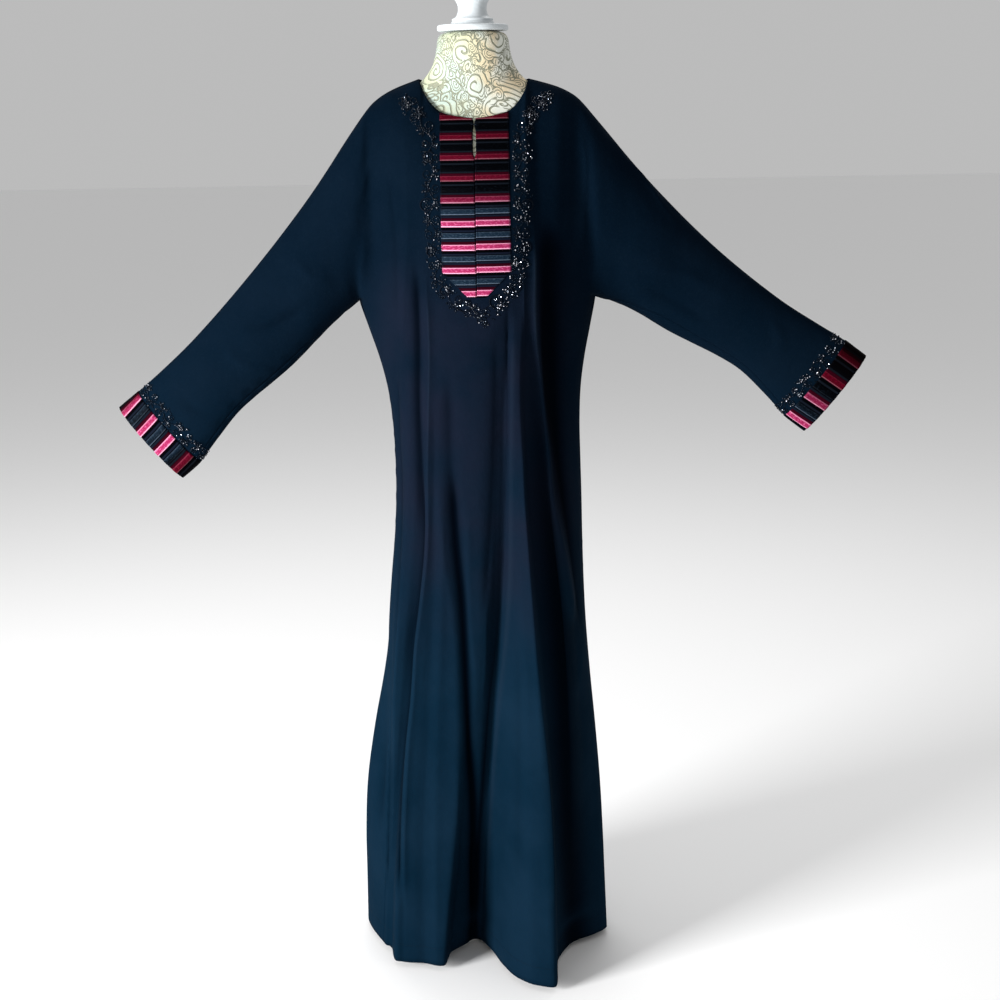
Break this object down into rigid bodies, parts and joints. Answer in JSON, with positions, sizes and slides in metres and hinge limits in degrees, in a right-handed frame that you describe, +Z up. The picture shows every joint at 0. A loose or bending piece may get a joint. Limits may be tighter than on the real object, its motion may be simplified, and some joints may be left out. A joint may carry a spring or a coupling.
{
  "type": "kaftan on dress form",
  "caption": "Long loose kaftan with wide kimono-cut sleeves, striped bib and cuffs, worn on a limbless dress form that stands on a three-armed base.",
  "frame": {"origin": "centre of the base's flat underside, on the floor under the pole", "axes": "+Z up, the wearer faces -Y, +X to the right as the kaftan is seen from the front"},
  "size_m": [1.2348, 0.378, 1.6543],
  "materials": {
    "crepe": "matt black crepe with a faint navy sheen",
    "striped_satin": "satin stripes in crimson, rose, slate and black",
    "form_cover": "cream and gold fabric embossed with scrolls",
    "white_wood": "turned wood, satin white paint",
    "white_steel": "satin white powder coat",
    "pole_steel": "brushed steel tube"
  },
  "bodies": {
    "root": {"front": "crepe", "back": "crepe", "bib_left": "striped_satin", "bib_right": "striped_satin", "cuff_left": "striped_satin", "cuff_right": "striped_satin", "dress_form": "form_cover", "cap": "white_wood", "pole": "pole_steel", "hub": "white_steel", "base": "white_steel"}
  },
  "joints": []
}
